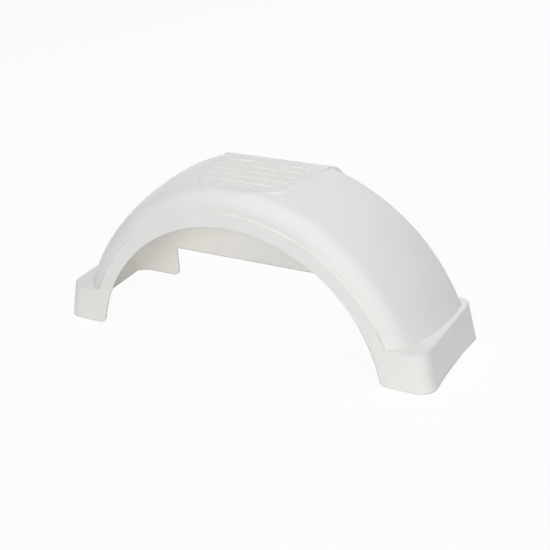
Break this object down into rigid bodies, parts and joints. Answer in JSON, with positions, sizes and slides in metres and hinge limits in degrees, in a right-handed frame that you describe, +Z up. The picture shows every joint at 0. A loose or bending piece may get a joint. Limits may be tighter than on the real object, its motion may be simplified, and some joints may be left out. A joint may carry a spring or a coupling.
{
  "type": "trailer mudguard",
  "caption": "Arched white plastic mudguard for a small trailer wheel, with a flat ribbed step on its crown, a raised rim round the wheel opening and box-shaped feet.",
  "frame": {"origin": "on the ground plane of the feet, under the middle of the part's length and width", "axes": "+X along the mudguard, +Y from the wheel opening towards the trailer, +Z up"},
  "size_m": [0.813, 0.248, 0.3241],
  "materials": {
    "moulding": "gloss white, moulded in colour"
  },
  "bodies": {
    "root": {"mudguard": "moulding"}
  },
  "joints": []
}
